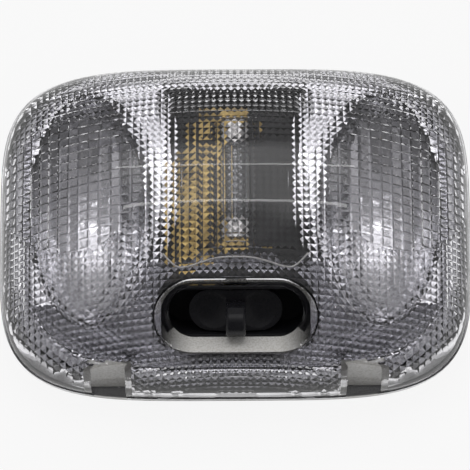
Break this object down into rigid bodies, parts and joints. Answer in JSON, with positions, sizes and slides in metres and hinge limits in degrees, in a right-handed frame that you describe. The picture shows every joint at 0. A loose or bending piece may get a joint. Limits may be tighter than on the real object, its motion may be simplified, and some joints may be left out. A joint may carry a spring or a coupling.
{
  "type": "car dome light",
  "caption": "Overhead car interior lamp with a prismatic clear lens, twin mirrored bowls, a tubular lamp and a three-position rocker switch in a lens pocket.",
  "frame": {"origin": "centre of the base flange's back face, on the plane of the headliner it is fitted against", "axes": "+X along the lamp's width, to the right in the picture; +Y up in the picture, away from the switch; +Z out of the lens, into the cabin"},
  "size_m": [0.15, 0.108, 0.0461],
  "materials": {
    "clear_lens": "clear moulded plastic, polished",
    "black_plastic": "fine matt black",
    "black_satin": "satin black",
    "mirror_metal": "vacuum-metallised",
    "brass": "stamped, slightly dull",
    "steel": "zinc-plated",
    "spring_steel": "tempered",
    "bulb_glass": "clear",
    "filament": "drawn wire",
    "plated_cap": "nickel-plated"
  },
  "bodies": {
    "lamp_body": {"lens": "clear_lens", "base": "black_plastic", "reflector": "mirror_metal", "switch_deck": "black_plastic", "strip_live": "brass", "strip_ground": "brass", "strip_door": "brass", "strip_lamp": "brass", "bulb_glass": "bulb_glass", "bulb_filament": "filament", "bulb_cap_front": "plated_cap", "bulb_cap_rear": "plated_cap", "roof_clip_left": "spring_steel", "roof_clip_right": "spring_steel", "screw_left": "steel", "screw_right": "steel"},
    "rocker_body": {"rocker": "black_satin", "plunger": "steel", "plunger_spring": "steel", "contact_bridge": "brass"}
  },
  "joints": [
    {"name": "rocker_tilt", "type": "hinge", "parent": "lamp_body", "child": "rocker_body", "pos_m": [0, -0.02669, 0.01707], "axis": [0, 0.8829, 0.4695], "range_deg": [-10, 10]}
  ]
}
